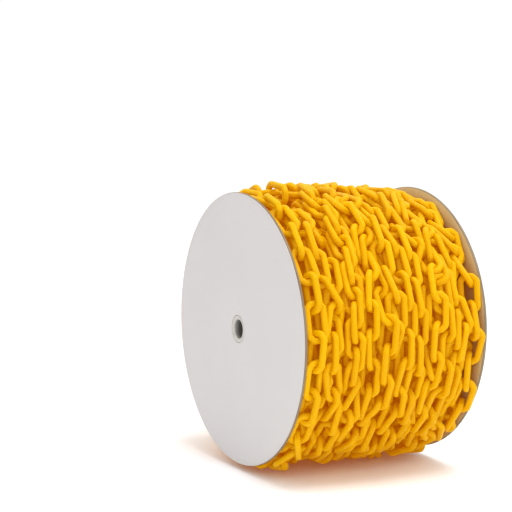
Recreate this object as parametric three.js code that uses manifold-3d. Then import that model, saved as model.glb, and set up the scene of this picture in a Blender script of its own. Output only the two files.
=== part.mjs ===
// Reel of plastic barrier chain.
//
// Two round hardboard flanges, each with a smooth light facing on its outer
// side, are clamped against a cardboard core by a steel hub tube whose ends
// are rolled over into the boards. About 35 m of 6 mm plastic chain is wound
// on the core in four layers of about a dozen turns, and bulges past the
// flanges. The free end of the last turn lies near the front flange, one loop
// proud.
//
// Millimetres, +Z up. The reel's axis is horizontal, along Y; the front
// flange faces -Y. The origin is on the surface the reel stands on, straight
// below the middle of the reel.

import * as THREE from "three";
import { mergeVertices } from "three/addons/utils/BufferGeometryUtils.js";
import Module from "manifold-3d";

const wasm = await Module();
wasm.setup();

// ---- driving dimensions (mm) ----------------------------------------------

const GAP = 0.3; // clearance between pieces that touch

// flanges
const REEL_WIDTH = 195; // over both facings
const FLANGE_R = 130;
const FACING_T = 0.5;
const BOARD_T = 2.3;
const FLANGE_SIDES = 96;

// core and hub
const CORE_OUTER_R = 45;
const CORE_INNER_R = 41;
const HUB_BORE_R = 9;
const HUB_OUTER_R = 10.2;
const HUB_LIP_R = 13;
const HUB_LIP_T = 0.9;

// chain link: a long ring of round bar with cut-off, softened corners
const BAR_R = 3;
const LINK_LENGTH = 39; // outside
const LINK_WIDTH = 21.5; // outside
const END_FLAT = 7; // straight part of each end, on the centreline
const CORNER_R = 3.2; // softening of the corners, on the centreline
const LINK_PLAY = 0.5; // clear distance between two engaged bars

// wound chain
const LAYERS = 4;
const TURNS = 11; // rings that the outer layer is made in
const LAYER_SIDES = 48;
const INNER_SIDES = 40;
const RIDGE_DEPTH = 4.5; // valley between two turns
// radius of the outer layer's crests along the reel, [from front face, radius]
const ENVELOPE = [
  [0, 129.5],
  [14, 133],
  [30, 136],
  [100, 136],
  [128, 133.5],
  [155, 131],
  [175, 128],
  [195, 125],
];
const BASE_R = 136; // largest crest, which the reel stands on

// free end of the chain
const TAIL_Y = -61; // plane of the last turn
const TAIL_TOP_R = 129; // chain line at the top of the reel
const TAIL_LOW_R = 124.6; // chain line where it is sunk in the pack
const TAIL_END_DEG = 9; // where the last link's far bar lies, past the top
const MOVING_LINKS = 8;
const FIXED_LINKS = 7;
const POCKET = 1.4; // clearance of a link in the pack

// ---- materials -------------------------------------------------------------

const facingPaper = () =>
  new THREE.MeshStandardMaterial({ color: 0xdad7d5, roughness: 0.7, metalness: 0 });
const hardboard = () =>
  new THREE.MeshStandardMaterial({ color: 0xa8763c, roughness: 0.85, metalness: 0 });
const cardboard = () =>
  new THREE.MeshStandardMaterial({ color: 0xb08a5c, roughness: 0.9, metalness: 0 });
const hubSteel = () =>
  new THREE.MeshStandardMaterial({ color: 0x8d8a86, roughness: 0.5, metalness: 0.8 });
const chainPlastic = () =>
  new THREE.MeshStandardMaterial({ color: 0xf6be14, roughness: 0.38, metalness: 0 });

// ---- geometry helpers ------------------------------------------------------

const reel = new THREE.Group();
reel.name = "chain_reel";
// the lowest crest facet of the outer layer stands on z = 0
reel.position.z = BASE_R * Math.cos(Math.PI / LAYER_SIDES);

function addPiece(name, geometry, material) {
  const mesh = new THREE.Mesh(geometry, material);
  mesh.name = name;
  reel.add(mesh);
  return mesh;
}

// Indexed surface from a grid of points closed in both directions.
function closedGrid(rows) {
  const across = rows[0].length;
  const position = [];
  for (const row of rows) for (const p of row) position.push(p.x, p.y, p.z);
  const index = [];
  for (let i = 0; i < rows.length; i++) {
    const next = (i + 1) % rows.length;
    for (let j = 0; j < across; j++) {
      const k = (j + 1) % across;
      const a = i * across + j;
      const b = i * across + k;
      const c = next * across + k;
      const d = next * across + j;
      index.push(a, b, c, a, c, d);
    }
  }
  const geometry = new THREE.BufferGeometry();
  geometry.setAttribute("position", new THREE.Float32BufferAttribute(position, 3));
  geometry.setIndex(index);
  return faceOutwards(geometry);
}

function faceOutwards(geometry) {
  const p = geometry.attributes.position;
  const index = geometry.index.array;
  const a = new THREE.Vector3();
  const b = new THREE.Vector3();
  const c = new THREE.Vector3();
  let volume = 0;
  for (let i = 0; i < index.length; i += 3) {
    a.fromBufferAttribute(p, index[i]);
    b.fromBufferAttribute(p, index[i + 1]);
    c.fromBufferAttribute(p, index[i + 2]);
    volume += a.dot(b.cross(c));
  }
  if (volume < 0)
    for (let i = 0; i < index.length; i += 3)
      [index[i + 1], index[i + 2]] = [index[i + 2], index[i + 1]];
  geometry.computeVertexNormals();
  return geometry;
}

// Ring about the Y axis from a closed outline of [radius, y], with a facet
// straight below the axis.
function ring(outline, sides) {
  const rows = [];
  for (let i = 0; i < sides; i++) {
    const angle = ((i + 0.5) / sides) * 2 * Math.PI;
    rows.push(
      outline.map(
        ([r, y]) => new THREE.Vector3(r * Math.sin(angle), y, -r * Math.cos(angle)),
      ),
    );
  }
  return closedGrid(rows);
}

function toSolid(geometry) {
  const bare = geometry.clone();
  for (const name of Object.keys(bare.attributes))
    if (name !== "position") bare.deleteAttribute(name);
  const merged = mergeVertices(bare, 1e-4);
  return new wasm.Manifold(
    new wasm.Mesh({
      numProp: 3,
      vertProperties: new Float32Array(merged.attributes.position.array),
      triVerts: new Uint32Array(merged.index.array),
    }),
  );
}

function toGeometry(solid) {
  const mesh = solid.getMesh();
  const geometry = new THREE.BufferGeometry();
  geometry.setAttribute(
    "position",
    new THREE.Float32BufferAttribute(mesh.vertProperties, 3),
  );
  geometry.setIndex(Array.from(mesh.triVerts));
  geometry.computeVertexNormals();
  return geometry;
}

// ---- flanges ---------------------------------------------------------------

const HALF = REEL_WIDTH / 2;
const BOARD_OUT = HALF - FACING_T - 0.2; // outer side of a board
const BOARD_IN = BOARD_OUT - BOARD_T; // inner side of a board

for (const [side, s] of [
  ["front", -1],
  ["back", 1],
]) {
  // thin facing, stopped just short of the board's edge
  addPiece(
    `facing_${side}`,
    ring(
      [
        [HUB_LIP_R + GAP, s * HALF],
        [FLANGE_R - 0.4, s * HALF],
        [FLANGE_R - 0.4, s * (HALF - FACING_T)],
        [HUB_LIP_R + GAP, s * (HALF - FACING_T)],
      ],
      FLANGE_SIDES,
    ),
    facingPaper(),
  );
  // board, stepped round the hole where the hub's rolled lip is pressed in
  addPiece(
    `flange_board_${side}`,
    ring(
      [
        [HUB_OUTER_R + GAP, s * BOARD_IN],
        [FLANGE_R - 0.5, s * BOARD_IN],
        [FLANGE_R, s * (BOARD_IN + 0.5)],
        [FLANGE_R, s * (BOARD_OUT - 0.5)],
        [FLANGE_R - 0.5, s * BOARD_OUT],
        [HUB_LIP_R + GAP, s * BOARD_OUT],
        [HUB_LIP_R + GAP, s * (HALF - HUB_LIP_T - 2 * GAP)],
        [HUB_OUTER_R + GAP, s * (HALF - HUB_LIP_T - 2 * GAP)],
      ],
      FLANGE_SIDES,
    ),
    hardboard(),
  );
}

// ---- core and hub ----------------------------------------------------------

const CORE_END = BOARD_IN - GAP;
addPiece(
  "core_tube",
  ring(
    [
      [CORE_INNER_R, -CORE_END],
      [CORE_OUTER_R, -CORE_END],
      [CORE_OUTER_R, CORE_END],
      [CORE_INNER_R, CORE_END],
    ],
    INNER_SIDES,
  ),
  cardboard(),
);

const LIP_OUT = HALF - 0.1;
const LIP_IN = HALF - HUB_LIP_T - GAP;
addPiece(
  "hub_tube",
  ring(
    [
      [HUB_BORE_R, -LIP_OUT + 1.2],
      [HUB_BORE_R + 0.9, -LIP_OUT + 0.2],
      [HUB_BORE_R + 1.6, -LIP_OUT],
      [HUB_LIP_R - 0.4, -LIP_OUT],
      [HUB_LIP_R, -LIP_OUT + 0.4],
      [HUB_LIP_R, -LIP_IN],
      [HUB_OUTER_R, -LIP_IN],
      [HUB_OUTER_R, LIP_IN],
      [HUB_LIP_R, LIP_IN],
      [HUB_LIP_R, LIP_OUT - 0.4],
      [HUB_LIP_R - 0.4, LIP_OUT],
      [HUB_BORE_R + 1.6, LIP_OUT],
      [HUB_BORE_R + 0.9, LIP_OUT - 0.2],
      [HUB_BORE_R, LIP_OUT - 1.2],
    ],
    32,
  ),
  hubSteel(),
);

// ---- free end of the chain -------------------------------------------------
//
// Links lie alternately flat (bar loop along the reel) and upright (bar loop
// across it). The chain line is a row of pivots, one at each end bar of each
// flat link, so a flat link spans a full link between its pivots and an
// upright one spans what is left between the bars that it holds.

const FLAT_SPAN = LINK_LENGTH - 2 * BAR_R;
const OVERLAP = 2 * BAR_R + LINK_PLAY; // centre to centre of two engaged bars
const UPRIGHT_SPAN = FLAT_SPAN - 2 * OVERLAP;
const LINKS = MOVING_LINKS + FIXED_LINKS;

const chainLineRadius = (angle) =>
  THREE.MathUtils.lerp(
    TAIL_TOP_R,
    TAIL_LOW_R,
    THREE.MathUtils.clamp(-angle / THREE.MathUtils.degToRad(80), 0, 1),
  );
const pivotAt = (angle) => {
  const r = chainLineRadius(angle);
  return new THREE.Vector3(r * Math.sin(angle), TAIL_Y, r * Math.cos(angle));
};

// Pivots from the free end backwards. The last link is upright.
const pivots = [];
let along = THREE.MathUtils.degToRad(TAIL_END_DEG);
pivots.push(pivotAt(along));
for (let i = 0; i < LINKS; i++) {
  const span = i % 2 === 0 ? UPRIGHT_SPAN : FLAT_SPAN;
  const from = pivots[pivots.length - 1];
  let low = along - 0.6;
  let high = along;
  for (let step = 0; step < 50; step++) {
    const middle = (low + high) / 2;
    if (pivotAt(middle).distanceTo(from) > span) low = middle;
    else high = middle;
  }
  along = (low + high) / 2;
  pivots.push(pivotAt(along));
}

// Link in its own frame: length along X, loop in the XY plane. Its centreline
// is an eight-cornered loop with each corner softened by a short arc.
function linkGeometry() {
  const a = LINK_LENGTH / 2 - BAR_R;
  const b = LINK_WIDTH / 2 - BAR_R;
  const f = END_FLAT / 2;
  const corners = [
    [a, -f],
    [a, f],
    [a - (b - f), b],
    [-a + (b - f), b],
    [-a, f],
    [-a, -f],
    [-a + (b - f), -b],
    [a - (b - f), -b],
  ].map(([x, y]) => new THREE.Vector3(x, y, 0));
  const cut = CORNER_R * Math.tan(Math.PI / 8);
  const centres = [];
  corners.forEach((corner, i) => {
    const before = corners[(i + 7) % 8].clone().sub(corner).normalize();
    const after = corners[(i + 1) % 8].clone().sub(corner).normalize();
    const lean = before.clone().add(after).normalize().negate();
    // both ends of the arc, with the bar cut square to the straights
    for (const way of [before, after]) {
      const straight = way === before ? before.clone().negate() : after.clone();
      centres.push({
        at: corner.clone().addScaledVector(way, cut),
        out: new THREE.Vector3(straight.y, -straight.x, 0).lerp(lean, 0.25).normalize(),
      });
    }
  });
  const barSides = 8;
  const rows = centres.map(({ at, out }) => {
    const row = [];
    for (let j = 0; j < barSides; j++) {
      const angle = ((j + 0.5) / barSides) * 2 * Math.PI;
      row.push(
        at
          .clone()
          .addScaledVector(out, BAR_R * Math.cos(angle))
          .add(new THREE.Vector3(0, 0, BAR_R * Math.sin(angle))),
      );
    }
    return row;
  });
  return closedGrid(rows);
}

// Places an object whose X is a link's length; its Y is the loop's width.
function placeLink(object, i) {
  const start = pivots[i + 1];
  const end = pivots[i];
  const length = end.clone().sub(start).normalize();
  const across = new THREE.Vector3(0, 1, 0);
  const outward = new THREE.Vector3().crossVectors(length, across);
  const upright = i % 2 === 0;
  const basis = upright
    ? new THREE.Matrix4().makeBasis(length, outward.clone().negate(), across)
    : new THREE.Matrix4().makeBasis(length, across, outward);
  object.applyMatrix4(
    basis.setPosition(start.clone().add(end).multiplyScalar(0.5)),
  );
  return object;
}

const linkName = (i) =>
  i < MOVING_LINKS
    ? `tail_link_${MOVING_LINKS - i}`
    : `wound_link_${i - MOVING_LINKS + 1}`;

for (let i = LINKS - 1; i >= 0; i--)
  placeLink(addPiece(linkName(i), linkGeometry(), chainPlastic()), i);

// ---- wound chain -----------------------------------------------------------

const WOUND_END = BOARD_IN - GAP;
const TURN_PITCH = (2 * WOUND_END) / TURNS;
const LAYER_PITCH = (BASE_R - CORE_OUTER_R) / LAYERS;

const crestAt = (y) => {
  const s = y + HALF;
  for (let i = 1; i < ENVELOPE.length; i++)
    if (s <= ENVELOPE[i][0]) {
      const [s0, r0] = ENVELOPE[i - 1];
      const [s1, r1] = ENVELOPE[i];
      return r0 + ((s - s0) / (s1 - s0)) * (r1 - r0);
    }
  return ENVELOPE[ENVELOPE.length - 1][1];
};

// inner layers: plain rings filling the space of eleven turns of chain
for (let layer = 1; layer < LAYERS; layer++) {
  const inner = CORE_OUTER_R + (layer - 1) * LAYER_PITCH + 2 * GAP;
  const outer = CORE_OUTER_R + layer * LAYER_PITCH - GAP;
  addPiece(
    `chain_layer_${layer}`,
    ring(
      [
        [inner, -WOUND_END],
        [outer, -WOUND_END],
        [outer, WOUND_END],
        [inner, WOUND_END],
      ],
      INNER_SIDES,
    ),
    chainPlastic(),
  );
}

// Room for the modelled links: a channel along the strand, open outwards, wide
// for the flat links and with a deeper slot in its middle for the upright ones.
function channelAlong(i) {
  const upright = i % 2 === 0;
  const height = 40;
  const parts = [
    [LINK_WIDTH + 2 * POCKET, BAR_R + POCKET],
    [2 * BAR_R + 2 * POCKET, LINK_WIDTH / 2 + POCKET],
  ].map(([width, depth]) => {
    const box = new THREE.BoxGeometry(
      LINK_LENGTH + 2 * POCKET,
      upright ? height : width,
      upright ? width : height,
    );
    // outward is -Y for an upright link and +Z for a flat one
    box.translate(
      0,
      upright ? depth - height / 2 : 0,
      upright ? 0 : height / 2 - depth,
    );
    return toSolid(placeLink(box, i));
  });
  return parts[0].add(parts[1]);
}
let channel = channelAlong(0);
for (let i = 1; i < LINKS; i++) channel = channel.add(channelAlong(i));

// outer layer: a ring with a rounded ridge for each turn
const outerInner = CORE_OUTER_R + (LAYERS - 1) * LAYER_PITCH + 2 * GAP;
for (let turn = 0; turn < TURNS; turn++) {
  const y0 = -WOUND_END + turn * TURN_PITCH + (turn > 0 ? GAP / 2 : 0);
  const y1 = -WOUND_END + (turn + 1) * TURN_PITCH - (turn < TURNS - 1 ? GAP / 2 : 0);
  const at = (f) => y0 + f * (y1 - y0);
  const outline = [
    [outerInner, y0],
    [crestAt(y0) - RIDGE_DEPTH, y0],
    [crestAt(at(0.3)), at(0.3)],
    [crestAt(at(0.7)), at(0.7)],
    [crestAt(y1) - RIDGE_DEPTH, y1],
    [outerInner, y1],
  ];
  let geometry = ring(outline, LAYER_SIDES);
  const reach = LINK_WIDTH / 2 + POCKET;
  if (y1 > TAIL_Y - reach && y0 < TAIL_Y + reach)
    geometry = toGeometry(toSolid(geometry).subtract(channel));
  addPiece(
    `chain_turn_${String(turn + 1).padStart(2, "0")}`,
    geometry,
    chainPlastic(),
  );
}

export default reel;
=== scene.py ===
"""Reel of yellow plastic barrier chain: two hardboard flanges with light facings, a cardboard core,
a rolled steel hub tube and about 35 m of 6 mm chain, every link a ring of its own."""

import math

import bmesh
import bpy
import numpy as np
from mathutils import Matrix, Vector


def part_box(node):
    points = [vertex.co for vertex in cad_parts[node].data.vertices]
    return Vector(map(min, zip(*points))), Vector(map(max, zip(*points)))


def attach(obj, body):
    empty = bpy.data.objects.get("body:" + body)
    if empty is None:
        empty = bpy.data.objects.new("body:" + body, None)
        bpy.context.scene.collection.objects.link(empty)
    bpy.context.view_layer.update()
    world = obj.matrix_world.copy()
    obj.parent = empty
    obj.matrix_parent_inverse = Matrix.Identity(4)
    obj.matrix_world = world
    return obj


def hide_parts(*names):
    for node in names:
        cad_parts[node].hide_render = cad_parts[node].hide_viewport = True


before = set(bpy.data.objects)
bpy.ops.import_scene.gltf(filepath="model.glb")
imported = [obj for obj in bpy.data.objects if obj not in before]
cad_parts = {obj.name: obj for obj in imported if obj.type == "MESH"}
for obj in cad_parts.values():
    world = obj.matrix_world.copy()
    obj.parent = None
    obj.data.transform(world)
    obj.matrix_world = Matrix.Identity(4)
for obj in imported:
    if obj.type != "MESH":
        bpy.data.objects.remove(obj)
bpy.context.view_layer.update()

# ---------------------------------------------------------------- sizes (m)
BOARD = [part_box("flange_board_front"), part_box("flange_board_back")]
FACING = [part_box("facing_front"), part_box("facing_back")]
FLANGE_R = (BOARD[0][1].x - BOARD[0][0].x) / 2
AXIS_Z = (BOARD[0][1].z + BOARD[0][0].z) / 2
FRONT_Y = FACING[0][0].y
BACK_Y = FACING[1][1].y
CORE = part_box("core_tube")
CORE_R = (CORE[1].x - CORE[0].x) / 2
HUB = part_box("hub_tube")
HUB_LIP_R = (HUB[1].x - HUB[0].x) / 2
BORE_R = 0.009
AXIS = Vector((0, 0, AXIS_Z))

# chain, in millimetres
BAR = 3.0
LINK_L, LINK_W = 39.0, 21.5
END_FLAT, CORNER_R = 7.0, 3.2
PLAY = 0.5
JOINT = LINK_L / 2 - BAR - (2 * BAR + PLAY) / 2  # from a link's middle to the point it hangs by
PITCH = 2 * JOINT
CORE_MM = CORE_R * 1000
SPACE = (BOARD[1][0].y - BOARD[0][1].y) * 500  # half the space between the flanges

# wound chain: how far from the reel's axis it fills to at the top and at the sides, at places along the reel
# from the front face, in millimetres
TOP_FILL = {0: 132, 10: 135, 26: 139, 40: 139, 62: 138.5, 100: 140}
TOP_FILL |= {118: 138, 135: 136, 155: 132, 175: 126, 195: 123}
SIDE_FILL = {0: 132, 10: 135, 26: 138.5, 100: 139.5, 140: 137.5, 195: 133.5}
LAYER_ENDS = (69, 91, 113)  # radii that part the four layers, in millimetres
LANE = 12  # half the width that the free end's lane takes up along the reel
LANE_MIDDLE = 6.5
LANE_DEPTH = 8.5  # how much further in the lane reaches in its middle

# winding
BEADS = (14, 20)  # points on a link, at first and for the last third of the steps
HOOK_WEIGHT = 4.0  # weight of the points that a link hangs by, against 1 for a bead
REACH = 8.5  # points nearer than this can touch before the pairs are listed again
SPARE = 0.35  # extra thickness of the free end's links, which the chain must keep clear of
HARD = 3.0  # how strongly flanges, core and floor push back


# ---------------------------------------------------------------- camera
def place_camera():
    """Camera looking down the reel from the front flange's side, a little above the reel's axis."""
    lens, sensor = 108.84, 36.0
    yaw, down, pitch = math.radians(62.7275), math.radians(5.835), math.radians(2.681)
    # the front flange's middle as the camera sees it: x right, y up, z back towards the camera
    middle = Vector((-0.01725, -0.06938, -1.47))
    # the reel's axis and world up, as the camera sees them
    along = Vector((math.sin(yaw) * math.cos(pitch), math.sin(pitch), -math.cos(yaw) * math.cos(pitch)))
    up = Vector((0, math.cos(down), math.sin(down)))
    side = along.cross(up).normalized()
    up = side.cross(along).normalized()
    to_world = Matrix((side, along, up))
    where = Vector((0, FRONT_Y, AXIS_Z)) - to_world @ middle
    cam = bpy.data.cameras.new("camera")
    cam.sensor_width = sensor
    cam.lens = lens
    cam.clip_end = 50
    obj = bpy.data.objects.new("camera", cam)
    obj.matrix_world = Matrix.Translation(where) @ to_world.to_4x4()
    bpy.context.scene.collection.objects.link(obj)
    bpy.context.scene.camera = obj


place_camera()


# ---------------------------------------------------------------- node helpers
class Nodes:
    """Small helper for building a material's node tree."""

    def __init__(self, name):
        self.mat = bpy.data.materials.new(name)
        self.mat.use_nodes = True
        self.tree = self.mat.node_tree
        self.bsdf = next(n for n in self.tree.nodes if n.type == "BSDF_PRINCIPLED")

    def add(self, kind, **inputs):
        node = self.tree.nodes.new(kind)
        for key, value in inputs.items():
            key = key.replace("_", " ")
            if isinstance(value, bpy.types.NodeSocket):
                self.tree.links.new(value, node.inputs[key])
            else:
                node.inputs[key].default_value = value
        return node

    def link(self, a, b):
        self.tree.links.new(a, b)

    def set(self, **values):
        for key, value in values.items():
            socket = self.bsdf.inputs[key.replace("_", " ")]
            if isinstance(value, bpy.types.NodeSocket):
                self.link(value, socket)
            else:
                socket.default_value = value

    def noise(self, vector, scale, detail=3.0, rough=0.55, distort=0.0):
        n = self.add("ShaderNodeTexNoise", Scale=scale, Detail=detail, Roughness=rough, Distortion=distort)
        self.link(vector, n.inputs["Vector"])
        return n.outputs["Fac"]

    def ramp(self, value, stops):
        n = self.tree.nodes.new("ShaderNodeValToRGB")
        while len(n.color_ramp.elements) < len(stops):
            n.color_ramp.elements.new(0.5)
        for e, (at, colour) in zip(n.color_ramp.elements, stops):
            e.position = at
            e.color = (*colour, 1) if len(colour) == 3 else colour
        self.link(value, n.inputs["Fac"])
        return n.outputs["Color"]

    def math(self, op, a, b=None, c=None, clamp=False):
        n = self.tree.nodes.new("ShaderNodeMath")
        n.operation = op
        n.use_clamp = clamp
        for socket, v in zip(n.inputs, (a, b, c)):
            if v is None:
                continue
            if isinstance(v, bpy.types.NodeSocket):
                self.link(v, socket)
            else:
                socket.default_value = v
        return n.outputs[0]

    def mix(self, fac, a, b, blend="MIX"):
        n = self.tree.nodes.new("ShaderNodeMix")
        n.data_type = "RGBA"
        n.blend_type = blend
        for key, v in ((0, fac), (6, a), (7, b)):
            socket = n.inputs[key]
            if isinstance(v, bpy.types.NodeSocket):
                self.link(v, socket)
            else:
                socket.default_value = (*v, 1) if isinstance(v, tuple) and len(v) == 3 else v
        return n.outputs[2]

    def bump(self, height, strength, distance, before=None):
        n = self.add("ShaderNodeBump", Strength=strength, Distance=distance)
        self.link(height, n.inputs["Height"])
        if before is not None:
            self.link(before, n.inputs["Normal"])
        return n.outputs["Normal"]

    def place(self):
        return self.add("ShaderNodeTexCoord").outputs["Object"]

    def round_axis(self, p):
        """Separate XYZ node, height over the reel's axis and distance from it."""
        sep = self.add("ShaderNodeSeparateXYZ")
        self.link(p, sep.inputs[0])
        dz = self.math("SUBTRACT", sep.outputs["Z"], AXIS_Z)
        square = self.math("ADD", self.math("POWER", sep.outputs["X"], 2.0), self.math("POWER", dz, 2.0))
        return sep, dz, self.math("SQRT", square)

    def squeeze(self, vector, scale):
        n = self.add("ShaderNodeMapping")
        self.link(vector, n.inputs["Vector"])
        n.inputs["Scale"].default_value = scale
        return n.outputs["Vector"]


def chain_material():
    m = Nodes("chain_plastic_satin")
    p = m.place()
    tone = m.add("ShaderNodeAttribute")
    tone.attribute_name = "tone"
    fine = m.noise(p, 260, 3, 0.6)
    broad = m.noise(p, 55, 2, 0.5)
    base = m.ramp(
        m.math("ADD", m.math("MULTIPLY", tone.outputs["Fac"], 0.75), m.math("MULTIPLY", broad, 0.25)),
        [(0.0, (0.545, 0.302, 0.0)), (0.5, (0.580, 0.338, 0.0001)), (1.0, (0.613, 0.374, 0.0002))],
    )
    # faint scuffs, paler where links have rubbed
    scratch = m.noise(m.squeeze(p, (1, 1, 0.35)), 420, 4, 0.7, 0.4)
    scuff = m.ramp(scratch, [(0.66, (0, 0, 0)), (0.74, (1, 1, 1))])
    base = m.mix(m.math("MULTIPLY", scuff, 0.07), base, (0.98, 0.64, 0.04))
    rough = m.math("ADD", m.math("MULTIPLY", fine, 0.10), m.math("MULTIPLY_ADD", scuff, 0.08, 0.40))
    # parting line of the mould round the outside and inside of each link
    uv = m.tree.nodes.new("ShaderNodeUVMap")
    uv.uv_map = "bar"
    u = m.add("ShaderNodeSeparateXYZ")
    m.link(uv.outputs["UV"], u.inputs[0])
    wave = m.math("PINGPONG", u.outputs["X"], 0.25)
    seam = m.math("SUBTRACT", 1.0, m.math("DIVIDE", wave, 0.022), clamp=True)
    n = m.bump(seam, 0.5, 0.0002)
    n = m.bump(fine, 0.15, 0.0002, n)
    n = m.bump(broad, 0.25, 0.0006, n)
    m.set(Base_Color=base, Roughness=rough, Normal=n)
    m.set(IOR=1.5, Specular_IOR_Level=0.07)
    m.set(Subsurface_Weight=0.35, Subsurface_Scale=0.004, Subsurface_Radius=(1.0, 0.8, 0.3))
    # painted light: a faint orange glow on every link, though the plastic gives no light, stands in for light
    # passing through the translucent plastic and lifts the shade where the links lie deep
    m.set(Emission_Color=(1.0, 0.24, 0.0, 1), Emission_Strength=0.145)
    return m.mat


def facing_material():
    m = Nodes("facing_sheet")
    p = m.place()
    mottle = m.noise(p, 14, 4, 0.6)
    fibre = m.noise(m.squeeze(p, (1, 1, 0.25)), 900, 3, 0.65)
    cloud = m.noise(p, 3.2, 2, 0.5)
    base = m.ramp(
        m.math("ADD", m.math("MULTIPLY", mottle, 0.6), m.math("MULTIPLY", cloud, 0.4)),
        [(0.25, (0.507, 0.483, 0.478)), (0.5, (0.523, 0.501, 0.496)), (0.8, (0.537, 0.517, 0.512))],
    )
    fleck = m.ramp(m.noise(p, 1400, 2, 0.5), [(0.70, (0, 0, 0)), (0.78, (1, 1, 1))])
    base = m.mix(m.math("MULTIPLY", fleck, 0.18), base, (0.50, 0.46, 0.42))
    # the sheet is rubbed and a little soiled round its rim
    _, _, r = m.round_axis(p)
    rim = m.math("MULTIPLY", m.math("SUBTRACT", r, FLANGE_R - 0.006), 1 / 0.006, clamp=True)
    patches = m.math("MULTIPLY_ADD", m.noise(p, 70, 4, 0.7), 1.4, -0.35, clamp=True)
    worn = m.math("MULTIPLY", rim, patches)
    base = m.mix(m.math("MULTIPLY", worn, 0.45), base, (0.47, 0.41, 0.35))
    # and a little darker next to the hub
    eye = m.math("MULTIPLY", m.math("SUBTRACT", r, HUB_LIP_R), 1 / 0.006)
    eye = m.math("SUBTRACT", 1.0, eye, clamp=True)
    base = m.mix(m.math("MULTIPLY", eye, 0.22), base, (0.50, 0.47, 0.42))
    n = m.bump(fibre, 0.12, 0.00012)
    n = m.bump(mottle, 0.10, 0.0008, n)
    rough = m.math("MULTIPLY_ADD", fibre, 0.18, 0.52)
    m.set(Base_Color=base, Roughness=rough, Normal=n)
    m.set(IOR=1.45, Specular_IOR_Level=0.4)
    return m.mat


def board_material():
    m = Nodes("hardboard_brown")
    p = m.place()
    fibre = m.noise(p, 650, 4, 0.7, 0.6)
    clump = m.noise(p, 120, 4, 0.65, 0.3)
    cloud = m.noise(p, 9, 3, 0.5)
    base = m.ramp(
        fibre,
        [(0.28, (0.40, 0.240, 0.065)), (0.5, (0.53, 0.345, 0.115)), (0.72, (0.63, 0.440, 0.165))],
    )
    clumps = m.ramp(clump, [(0.3, (0.45, 0.280, 0.080)), (0.7, (0.58, 0.390, 0.135))])
    base = m.mix(0.45, base, clumps)
    base = m.mix(m.math("MULTIPLY", cloud, 0.35), base, (0.55, 0.38, 0.14))
    # paler and greyer where the rim is rubbed; the sawn edge shows the board's layers, and its darkness is
    # painted shade
    _, _, r = m.round_axis(p)
    rubbed = m.math("MULTIPLY", m.math("SUBTRACT", r, FLANGE_R - 0.016), 1 / 0.016, clamp=True)
    patches = m.math("MULTIPLY_ADD", m.noise(p, 45, 4, 0.65), 0.5, 0.45, clamp=True)
    rubbed = m.math("MULTIPLY", rubbed, patches)
    base = m.mix(rubbed, base, (0.59, 0.505, 0.30))
    # painted shade: the sawn edge is darkened all round, the layers drawn in its dark colours
    edge_shade = m.math("MULTIPLY", m.math("SUBTRACT", r, FLANGE_R - 0.0009), 1 / 0.0006, clamp=True)
    layers = m.noise(m.squeeze(p, (30, 1900, 30)), 1, 3, 0.6)
    cut = m.ramp(layers, [(0.35, (0.16, 0.112, 0.068)), (0.65, (0.29, 0.225, 0.150))])
    base = m.mix(edge_shade, base, cut)
    n = m.bump(fibre, 0.35, 0.0003)
    n = m.bump(clump, 0.25, 0.0006, n)
    m.set(Base_Color=base, Roughness=m.math("MULTIPLY_ADD", fibre, 0.2, 0.68), Normal=n)
    m.set(IOR=1.45, Specular_IOR_Level=0.3)
    return m.mat


def core_material():
    m = Nodes("core_cardboard")
    p = m.place()
    sep = m.add("ShaderNodeSeparateXYZ")
    m.link(p, sep.inputs[0])
    dz = m.math("SUBTRACT", sep.outputs["Z"], AXIS_Z)
    turn = m.math("DIVIDE", m.math("ARCTAN2", sep.outputs["X"], dz), 2 * math.pi)
    lead = m.math("FRACT", m.math("MULTIPLY_ADD", sep.outputs["Y"], 1 / 0.075, turn))
    seam = m.math("SUBTRACT", 1.0, m.math("MULTIPLY", lead, 1 / 0.02), clamp=True)
    fibre = m.noise(p, 700, 4, 0.7)
    base = m.ramp(fibre, [(0.3, (0.34, 0.22, 0.12)), (0.7, (0.47, 0.33, 0.20))])
    base = m.mix(m.math("MULTIPLY", seam, 0.6), base, (0.17, 0.10, 0.05))
    n = m.bump(m.math("SUBTRACT", fibre, seam), 0.3, 0.0003)
    m.set(Base_Color=base, Roughness=0.85, Normal=n)
    return m.mat


def hub_material():
    m = Nodes("hub_dull_plating")
    p = m.place()
    grain = m.noise(m.squeeze(p, (900, 60, 900)), 1, 3, 0.6)
    blot = m.noise(p, 90, 4, 0.65)
    base = m.ramp(blot, [(0.3, (0.40, 0.385, 0.355)), (0.7, (0.53, 0.51, 0.475))])
    # painted shade: the metal is darkened a little way into the bore, where shade falls
    sep = m.add("ShaderNodeSeparateXYZ")
    m.link(p, sep.inputs[0])
    inside = m.math("SUBTRACT", BACK_Y - 0.0012, m.math("ABSOLUTE", sep.outputs["Y"]))
    inside = m.math("MULTIPLY", inside, 1 / 0.005, clamp=True)
    base = m.mix(m.math("MULTIPLY", inside, 0.86), base, (0.075, 0.07, 0.06))
    n = m.bump(grain, 0.15, 0.0002)
    m.set(Base_Color=base, Roughness=m.math("MULTIPLY_ADD", blot, 0.2, 0.45), Normal=n, Metallic=0.4)
    return m.mat


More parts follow.
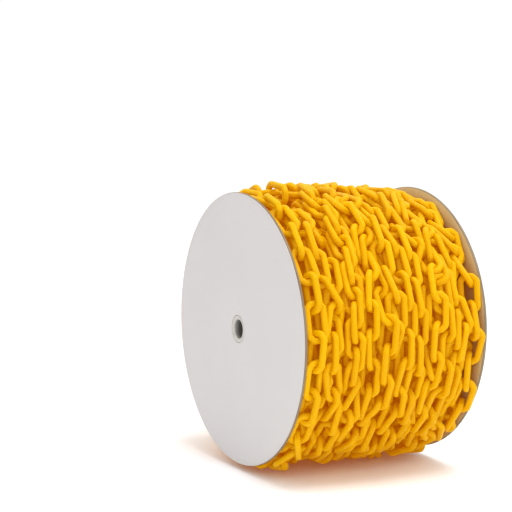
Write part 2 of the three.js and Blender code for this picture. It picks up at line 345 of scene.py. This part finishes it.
# ---------------------------------------------------------------- chain pack
def link_path(arc_steps):
    """Centreline of a link in its XY plane: an eight-cornered loop with softened corners.
    Rows of x, y and the outward direction."""
    a, b, f = LINK_L / 2 - BAR, LINK_W / 2 - BAR, END_FLAT / 2
    c = b - f
    corners = [(a, -f), (a, f), (a - c, b), (-a + c, b), (-a, f), (-a, -f), (-a + c, -b), (a - c, -b)]
    cut = CORNER_R * math.tan(math.pi / 8)
    rows = []
    for i, p in enumerate(corners):
        q = corners[i - 1]
        heading = math.atan2(p[1] - q[1], p[0] - q[0])
        start = np.array(p) - cut * np.array((math.cos(heading), math.sin(heading)))
        centre = start + CORNER_R * np.array((-math.sin(heading), math.cos(heading)))
        for k in range(arc_steps + 1):
            t = heading - math.pi / 2 + k / arc_steps * math.pi / 4
            rows.append((*(centre + CORNER_R * np.array((math.cos(t), math.sin(t)))), math.cos(t), math.sin(t)))
    return np.array(rows)


def beads_on_link(n):
    """n points evenly along a link's centreline."""
    p = link_path(4)[:, :2]
    p = np.concatenate([p, p[:1]])
    along = np.concatenate([[0], np.cumsum(np.linalg.norm(np.diff(p, axis=0), axis=1))])
    s = (np.arange(n) + 0.5) / n * along[-1]
    return np.stack([np.interp(s, along, p[:, 0]), np.interp(s, along, p[:, 1]), np.zeros(n)], 1)


def pack_outside(theta, y, lane):
    """Radius that the chain fills to, at an angle from the top and a place along the reel.
    lane is the free end's place along the reel, its lowest and highest angle, and how far in its links reach:
    nothing lies over them."""
    s = y - FRONT_Y * 1000
    top = np.interp(s, list(TOP_FILL), list(TOP_FILL.values()))
    side = np.interp(s, list(SIDE_FILL), list(SIDE_FILL.values()))
    r = top + (side - top) * np.clip(1.15 - 1.3 * np.cos(theta), 0, 1)
    at, low, high, inner = lane
    beside = np.abs(y - at)
    over = (theta > low) & (theta < high) & (beside < LANE)
    under = np.where(beside < LANE_MIDDLE, inner - LANE_DEPTH, inner)
    return np.where(over, np.minimum(r, under), r)


def near_pairs(p, owner, cell):
    """Index pairs of points on different links within one cell of each other."""
    q = np.floor((p - p.min(0)) / cell).astype(np.int64) + 1
    dims = q.max(0) + 2
    key = (q[:, 0] * dims[1] + q[:, 1]) * dims[2] + q[:, 2]
    order = np.argsort(key, kind="stable")
    key = key[order]
    here = np.arange(len(key))
    first, second = [], []
    for dx in (0, 1):
        for dy in (-1, 0, 1):
            for dz in (-1, 0, 1):
                if (dx, dy, dz) < (0, 0, 0):
                    continue
                off = (dx * dims[1] + dy) * dims[2] + dz
                high = np.searchsorted(key, key + off, "right")
                low = here + 1 if off == 0 else np.searchsorted(key, key + off, "left")
                n = np.maximum(high - low, 0)
                inside = np.arange(n.sum()) - np.repeat(np.cumsum(n) - n, n)
                first.append(order[np.repeat(here, n)])
                second.append(order[np.repeat(low, n) + inside])
    a, b = np.concatenate(first), np.concatenate(second)
    d = p[a] - p[b]
    keep = (owner[a] != owner[b]) & ((d * d).sum(1) < cell * cell)
    return a[keep], b[keep]


def wind_chain(end_c, end_R, legs, steps, seed, moving=8, floor=-135.0):
    """Winds the chain on the core and lets it settle: links are rigid rings that touch, hang in their
    neighbours, and are drawn in between the flanges.

    end_c and end_R are the links of the free end, from the pack outwards, in millimetres about the reel's axis;
    they stay where they are. legs goes on from them towards the core: a radius, the place along the reel to go
    to, and the number of turns that it takes. Returns every link's middle and directions, core first, and how
    many of them are wound."""
    rng = np.random.default_rng(seed)
    theta = math.atan2(end_c[0][0], end_c[0][2]) - math.radians(6)
    y = end_c[0][1]
    r = math.hypot(end_c[0][0], end_c[0][2])
    path = []
    for radius, to_y, turns in legs:
        length = 2 * math.pi * turns
        pitch = (to_y - y) / length
        while length > 0:
            step = 2 * math.asin(JOINT / max(r, 50))
            theta -= step
            length -= step
            y += pitch * step
            r += (radius - r) * 0.25
            path.append((theta, y, r))
    n = len(path)
    th, yy, rr = np.array(path).T

    def wander(scale, span):
        k = rng.normal(size=int(n / span) + 4)
        x = np.arange(n) / span
        i = x.astype(int)
        f = x - i
        f = f * f * (3 - 2 * f)
        return scale * (k[i] * (1 - f) + k[i + 1] * f)

    fade = np.clip(np.arange(n) / 8, 0, 1)
    yy = np.clip(yy + wander(4.5, 7) * fade, -SPACE + 8, SPACE - 8)
    rr = rr + wander(3.0, 5) * fade
    slow = (wander(0.55, 9) + wander(0.25, 2)) * fade
    c = np.concatenate([np.stack([rr * np.sin(th), yy, rr * np.cos(th)], 1)[::-1], end_c])
    total = len(c)
    x = np.empty_like(c)
    x[1:-1] = c[2:] - c[:-2]
    x[0], x[-1] = c[1] - c[0], c[-1] - c[-2]
    x /= np.linalg.norm(x, axis=1)[:, None]
    out = c * np.array([1, 0, 1])
    out /= np.linalg.norm(out, axis=1)[:, None]
    across = np.cross(out, x)
    across /= np.linalg.norm(across, axis=1)[:, None]
    out = np.cross(x, across)
    # every link is a quarter turn from the next, and the whole strand rolls slowly
    roll = (np.arange(total) - n) % 2 * (math.pi / 2)
    roll += 0.0 if abs(end_R[0][1, 1]) > 0.5 else math.pi / 2
    roll[:n] += slow[::-1]
    wide = np.cos(roll)[:, None] * across + np.sin(roll)[:, None] * out
    R = np.stack([x, wide, np.cross(x, wide)], axis=2)
    c[n:], R[n:] = end_c, end_R

    free = np.ones(total)
    free[n:] = 0
    thick = BAR + SPARE * (1 - free)
    loose = end_c[-moving:]
    angles = np.arctan2(loose[:, 0], loose[:, 2])
    inner = np.hypot(loose[:, 0], loose[:, 2]).min() - BAR - 0.8
    lane = (loose[0][1], angles.min() - 0.16, angles.max() + 0.35, inner)
    for it in range(steps):
        if it in (0, steps * 2 // 3):  # closer points for the last third
            beads = BEADS[0] if it == 0 else BEADS[1]
            local = np.concatenate([beads_on_link(beads), [(JOINT, 0, 0), (-JOINT, 0, 0)]])
            weight = np.concatenate([np.ones(beads), [HOOK_WEIGHT, HOOK_WEIGHT]])
            weighted = local * weight[:, None]
            owner = np.repeat(np.arange(total), beads)
            q = c[:, None, :] + np.einsum("nij,kj->nki", R, local)
        if it % 6 == 0 or it == steps * 2 // 3:
            a, b = near_pairs(q[:, :beads].reshape(-1, 3), owner, REACH)
        # the chain's tension draws it in, then the links find room
        pull = 0.02 if it < steps * 0.5 else 0.004 if it < steps * 0.7 else 0.0
        push = 1.25 if it < steps * 0.5 else 4.0
        inward = c * np.array([1, 0, 1])
        inward *= -(pull * free / np.linalg.norm(inward, axis=1))[:, None]
        q += inward[:, None, :]
        # bars keep clear of each other
        p = q[:, :beads].reshape(-1, 3)
        d = p[a] - p[b]
        dist = np.sqrt((d * d).sum(1)) + 1e-9
        room = thick[owner[a]] + thick[owner[b]]
        hit = dist < room
        i, j, d, over = a[hit], b[hit], d[hit] / dist[hit][:, None], (room - dist)[hit]
        wi, wj = free[owner[i]], free[owner[j]]
        share = d * (over / np.maximum(wi + wj, 1e-9))[:, None]
        count = np.maximum(np.bincount(i, minlength=len(p)) + np.bincount(j, minlength=len(p)), 1)
        for k in range(3):
            move = np.bincount(i, share[:, k] * wi, len(p)) - np.bincount(j, share[:, k] * wj, len(p))
            p[:, k] += push * move / count
        # flanges, core and the outside of the pack
        p[:, 1] += HARD * (np.clip(p[:, 1], -SPACE + BAR, SPACE - BAR) - p[:, 1])
        radius = np.hypot(p[:, 0], p[:, 2])
        limit = pack_outside(np.arctan2(p[:, 0], p[:, 2]), p[:, 1], lane) - BAR
        want = radius + HARD * np.maximum(CORE_MM + BAR - radius, 0)
        want = np.where(want > limit, want + (limit - want) * 0.35, want)
        p[:, 0] *= want / radius
        p[:, 2] *= want / radius
        p[:, 2] += HARD * (np.maximum(p[:, 2], floor + BAR) - p[:, 2])
        q[:, :beads] = p.reshape(total, beads, 3)
        # neighbours hang in each other
        gap = q[1:, beads + 1] - q[:-1, beads]
        share = np.maximum(free[:-1] + free[1:], 1e-9)
        q[:-1, beads] += gap * (free[:-1] / share)[:, None]
        q[1:, beads + 1] -= gap * (free[1:] / share)[:, None]
        # each link is rigid
        middle = (q * weight[None, :, None]).sum(1) / weight.sum()
        H = np.einsum("nki,kj->nij", q - middle[:, None, :], weighted)
        U, _, Vt = np.linalg.svd(H)
        U[:, :, 2] *= np.linalg.det(U @ Vt)[:, None]
        R[:n] = (U @ Vt)[:n]
        c[:n] = middle[:n]
        q = c[:, None, :] + np.einsum("nij,kj->nki", R, local)
    return c, R, n


def link_of_node(name):
    """A CAD link's middle (mm, about the reel's axis) and its directions: length, width, normal."""
    co = np.array([v.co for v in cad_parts[name].data.vertices], float)
    low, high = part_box(name)
    middle = (np.array(low) + np.array(high)) / 2
    _, vectors = np.linalg.eigh(np.cov((co - middle).T))
    x = vectors[:, 2]
    if np.cross(middle - np.array(AXIS), x)[1] < 0:  # lengthways is always the way the strand runs
        x = -x
    y = vectors[:, 1]
    return (middle - np.array(AXIS)) * 1000, np.stack([x, y, np.cross(x, y)], axis=1)


def link_surface(arc_steps, sides):
    """Rings of points round one link's bar."""
    path = link_path(arc_steps)
    a = 2 * math.pi * np.arange(sides) / sides
    # moulded bar: round with slightly flattened faces, and a little thinner across the mould halves
    w, h = (np.sign(v) * np.abs(v) ** 0.8 for v in (np.cos(a).round(9), np.sin(a).round(9)))
    w, h = BAR * w, BAR * 0.96 * h
    x = path[:, None, 0] + path[:, None, 2] * w
    y = path[:, None, 1] + path[:, None, 3] * w
    return np.stack([x, y, np.broadcast_to(h, x.shape)], -1)


def chain_object(name, c, R, tone, arc_steps, sides):
    """One mesh of separate links. Millimetres about the reel's axis become metres in the part's frame."""
    shape = link_surface(arc_steps, sides)
    rings, sides, _ = shape.shape
    flat = shape.reshape(-1, 3)
    co = (c[:, None, :] + np.einsum("nij,kj->nki", R, flat)) / 1000 + np.array(AXIS)
    count, per = len(c), len(flat)
    i, j = np.meshgrid(np.arange(rings), np.arange(sides), indexing="ij")
    i2, j2 = (i + 1) % rings, (j + 1) % sides
    quad = np.stack([i * sides + j, i2 * sides + j, i2 * sides + j2, i * sides + j2], -1).reshape(-1, 4)
    quads = (quad[None] + (np.arange(count) * per)[:, None, None]).reshape(-1)
    mesh = bpy.data.meshes.new(name)
    mesh.vertices.add(count * per)
    mesh.vertices.foreach_set("co", co.astype(np.float32).ravel())
    faces = count * len(quad)
    mesh.loops.add(faces * 4)
    mesh.loops.foreach_set("vertex_index", quads.astype(np.int32))
    mesh.polygons.add(faces)
    mesh.polygons.foreach_set("loop_start", np.arange(0, faces * 4, 4, dtype=np.int32))
    mesh.update(calc_edges=True)
    mesh.polygons.foreach_set("use_smooth", np.ones(faces, bool))
    # "bar": x round the bar, y along it; "tone": a small difference from link to link
    u0, v0 = j / sides, i / rings
    u1, v1 = (j + 1) / sides, (i + 1) / rings
    uv = np.stack([u0, v0, u0, v1, u1, v1, u1, v0], -1).reshape(-1, 8)
    layer = mesh.uv_layers.new(name="bar")
    layer.data.foreach_set("uv", np.tile(uv, (count, 1)).astype(np.float32).ravel())
    attr = mesh.attributes.new("tone", "FLOAT", "POINT")
    attr.data.foreach_set("value", np.repeat(tone, per).astype(np.float32))
    obj = bpy.data.objects.new(name, mesh)
    bpy.context.scene.collection.objects.link(obj)
    return obj


# ---------------------------------------------------------------- turned pieces
def turned(name, profile, sides=256, wobble=None):
    """Closed ring about the reel's axis from an outline of (radius, y) in metres."""
    n = len(profile)
    co, faces = [], []
    for i in range(sides):
        a = 2 * math.pi * i / sides
        for r, y in profile:
            dy = wobble(r, a) if wobble else 0.0
            co.append((r * math.sin(a), y + dy, AXIS_Z + r * math.cos(a)))
    for i in range(sides):
        for j in range(n):
            k, i2 = (j + 1) % n, (i + 1) % sides
            faces.append((i * n + j, i * n + k, i2 * n + k, i2 * n + j))
    mesh = bpy.data.meshes.new(name)
    mesh.from_pydata(co, [], faces)
    mesh.update()
    mesh.polygons.foreach_set("use_smooth", np.ones(len(faces), bool))
    obj = bpy.data.objects.new(name, mesh)
    bpy.context.scene.collection.objects.link(obj)
    bm = bmesh.new()
    bm.from_mesh(mesh)
    bmesh.ops.recalc_face_normals(bm, faces=bm.faces)
    for e in bm.edges:
        if len(e.link_faces) == 2 and e.calc_face_angle(0) > math.radians(38):
            e.smooth = False
    bm.to_mesh(mesh)
    bm.free()
    return obj


def rounded(outline, radius, steps=3):
    """Outline with each corner rounded; corners marked with a smaller radius keep theirs."""
    out = []
    n = len(outline)
    for i, point in enumerate(outline):
        p = Vector(point[:2])
        rad = point[2] if len(point) > 2 else radius
        a, b = Vector(outline[i - 1][:2]) - p, Vector(outline[(i + 1) % n][:2]) - p
        cut = min(rad, a.length * 0.45, b.length * 0.45)
        if cut <= 1e-7:
            out.append(tuple(p))
            continue
        s, e = p + a.normalized() * cut, p + b.normalized() * cut
        for k in range(steps + 1):
            t = k / steps
            out.append(tuple(s * (1 - t) ** 2 + p * 2 * t * (1 - t) + e * t**2))
    return out


def finish_piece(obj, material, body, slot, *nodes):
    obj.data.materials.clear()
    obj.data.materials.append(material)
    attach(obj, body)
    if nodes:
        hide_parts(*nodes)
    return obj


MAT_CHAIN = chain_material()
MAT_FACING = facing_material()
MAT_BOARD = board_material()
MAT_CORE = core_material()
MAT_HUB = hub_material()


# ---------------------------------------------------------------- reel
def build_reel():
    for side, s, board, facing in zip(("front", "back"), (-1, 1), BOARD, FACING):
        outer = facing[0].y if s < 0 else facing[1].y
        sheet_in = facing[1].y if s < 0 else facing[0].y
        board_out = board[0].y if s < 0 else board[1].y
        board_in = board[1].y if s < 0 else board[0].y
        rng = np.random.default_rng(3 if s < 0 else 4)
        phase = rng.uniform(0, 2 * math.pi, 4)

        def warp(r, a, s=s, phase=phase):
            # a hardboard disc is never quite flat near its rim
            f = max(0.0, (r - 0.05) / (FLANGE_R - 0.05)) ** 2
            return f * 0.0004 * (math.sin(2 * a + phase[0]) + 0.5 * math.sin(3 * a + phase[1])) * s

        hole = HUB_LIP_R + 0.0003
        sheet = rounded(
            [
                (hole, outer, 0.0004),
                (FLANGE_R - 0.0004, outer, 0.0004),
                (FLANGE_R - 0.0004, sheet_in, 0),
                (hole, sheet_in, 0),
            ],
            0.0004,
        )
        # rings between the hole and the rim let the sheet follow the board
        sheet = with_rings(sheet, hole, FLANGE_R - 0.0004, outer)
        disc = turned(f"facing_sheet_{side}", sheet, 256, warp)
        finish_piece(disc, MAT_FACING, "reel", "facing", f"facing_{side}")
        mouth = 0.0105
        plate = rounded(
            [
                (mouth, board_in, 0.0002),
                (FLANGE_R, board_in, 0.0006),
                (FLANGE_R, board_out, 0.0005),
                (hole, board_out, 0.0001),
                (hole, outer - s * 0.0015, 0.0001),
                (mouth, outer - s * 0.0015, 0.0001),
            ],
            0.0004,
        )
        plate = with_rings(plate, mouth, FLANGE_R, board_in)
        disc = turned(f"hardboard_{side}", plate, 256, warp)
        finish_piece(disc, MAT_BOARD, "reel", "hardboard", f"flange_board_{side}")
    core = rounded(
        [
            (CORE_R - 0.004, CORE[0].y),
            (CORE_R, CORE[0].y),
            (CORE_R, CORE[1].y),
            (CORE_R - 0.004, CORE[1].y),
        ],
        0.0004,
    )
    finish_piece(turned("core_cardboard_tube", core, 96), MAT_CORE, "reel", "core_board", "core_tube")
    lip = HUB_LIP_R
    tube = rounded(
        [
            (BORE_R, HUB[0].y, 0.0028),
            (lip, HUB[0].y, 0.0005),
            (lip, HUB[0].y + 0.0008, 0.0002),
            (0.0102, HUB[0].y + 0.0008, 0.0003),
            (0.0102, HUB[1].y - 0.0008, 0.0003),
            (lip, HUB[1].y - 0.0008, 0.0002),
            (lip, HUB[1].y, 0.0005),
            (BORE_R, HUB[1].y, 0.0028),
        ],
        0.0003,
        5,
    )
    finish_piece(turned("hub_rolled_tube", tube, 96), MAT_HUB, "reel", "hub_metal", "hub_tube")


def with_rings(outline, inner, outer, y):
    """Adds points along the outline's straight run at height y, between two radii."""
    out = []
    for i, p in enumerate(outline):
        out.append(p)
        q = outline[(i + 1) % len(outline)]
        if abs(p[1] - y) < 1e-7 and abs(q[1] - y) < 1e-7 and abs(p[0] - q[0]) > (outer - inner) * 0.5:
            out += [(p[0] + (q[0] - p[0]) * k / 12, y) for k in range(1, 12)]
    return out


build_reel()

# ---------------------------------------------------------------- chain
END = [f"wound_link_{i}" for i in range(7, 0, -1)] + [f"tail_link_{i}" for i in range(1, 9)]
ends = [link_of_node(name) for name in END]
end_c = np.array([e[0] for e in ends])
end_R = np.array([e[1] for e in ends])
chain_c, chain_R, wound = wind_chain(
    end_c,
    end_R,
    # radius, place along the reel, turns
    legs=[
        (126.5, -74.5, 1.0),
        (127.0, -87.0, 0.95),
        (115.0, -68.0, 0.25),
        (115.0, -47.0, 0.25),
        (128.0, 78.0, 12.2),
        (127.5, 87.0, 1.3),
        (107.0, 87.0, 0.1),
        (107.0, -87.0, 15.0),
        (83.0, -87.0, 0.1),
        (83.0, 87.0, 13.0),
        (57.5, 87.0, 0.1),
        (57.5, -87.0, 12.0),
    ],
    steps=600,
    seed=7,
)
tones = np.clip(np.random.default_rng(11).normal(0.5, 0.17, len(chain_c)), 0, 1)
# the strand is split where it passes from layer to layer, and the outer layer turn by turn
reach = np.hypot(chain_c[:wound, 0], chain_c[:wound, 2])
marks = [0, *(int(np.argmax(reach > r)) for r in LAYER_ENDS), wound]
# the deeper a layer lies, the coarser its bars: steps round a link's corner and sides round its bar
for k, (arc_steps, sides) in enumerate(((1, 8), (1, 8), (2, 10))):
    a, b = marks[k], marks[k + 1]
    obj = chain_object(f"wound_layer_{k + 1}", chain_c[a:b], chain_R[a:b], tones[a:b], arc_steps, sides)
    finish_piece(obj, MAT_CHAIN, "reel", "chain_plastic", f"chain_layer_{k + 1}")
TURN_RINGS = sorted((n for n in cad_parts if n.startswith("chain_turn_")), key=lambda n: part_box(n)[0].y)
edges = np.array([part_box(n)[0].y * 1000 for n in TURN_RINGS[1:]])
outer = np.arange(marks[3], wound)
turn_of = np.searchsorted(edges, chain_c[outer, 1])
for k, ring in enumerate(TURN_RINGS):
    at = outer[turn_of == k]
    obj = chain_object(ring.replace("chain", "wound"), chain_c[at], chain_R[at], tones[at], 3, 14)
    finish_piece(obj, MAT_CHAIN, "reel", "chain_plastic", ring)
print("chain: links", len(chain_c), "layers", marks, "m", round(len(chain_c) * PITCH / 1000, 2))
for k, name in enumerate(END):
    i = wound + k
    label = name.replace("wound", "laid").replace("tail", "free")
    obj = chain_object(label, chain_c[i : i + 1], chain_R[i : i + 1], tones[i : i + 1], 4, 20)
    body = "reel" if name.startswith("wound") else name.replace("tail_", "")
    finish_piece(obj, MAT_CHAIN, body, "chain_plastic", name)


# ---------------------------------------------------------------- floor and light
def stage():
    mesh = bpy.data.meshes.new("floor")
    n, radius, level = 64, 6.0, -0.0005
    angles = [2 * math.pi * k / n for k in range(n)]
    ring = [(radius * math.cos(a), radius * math.sin(a), level) for a in angles]
    mesh.from_pydata(ring, [], [tuple(range(n))])
    floor = bpy.data.objects.new("floor", mesh)
    bpy.context.scene.collection.objects.link(floor)
    m = Nodes("pale_floor")
    m.set(Base_Color=(0.97, 0.97, 0.97, 1), Roughness=0.95, Specular_IOR_Level=0.0)
    mesh.materials.append(m.mat)
    world = bpy.data.worlds.new("studio")
    bpy.context.scene.world = world
    world.use_nodes = True
    bg = next(x for x in world.node_tree.nodes if x.type == "BACKGROUND")
    bg.inputs["Color"].default_value = (1.0, 1.0, 1.0, 1)
    bg.inputs["Strength"].default_value = 1.03

    aim = Vector((0, 0, 0.14))
    for name, at, size, power in (
        ("key", (1.9, -1.0, 1.35), 1.2, 6.5),
        ("front", (2.1, -1.1, 0.3), 1.2, 3.5),
        ("top", (0.5, 0.2, 2.3), 1.4, 32),
        ("fill", (0.8, 1.8, 1.4), 1.4, 3),
    ):
        light = bpy.data.lights.new(name, "AREA")
        light.shape = "DISK"
        light.size = size
        light.energy = power
        obj = bpy.data.objects.new(name, light)
        turn = (aim - Vector(at)).to_track_quat("-Z", "Y")
        obj.matrix_world = Matrix.Translation(at) @ turn.to_matrix().to_4x4()
        bpy.context.scene.collection.objects.link(obj)


stage()
bpy.context.scene.view_settings.view_transform = "Standard"
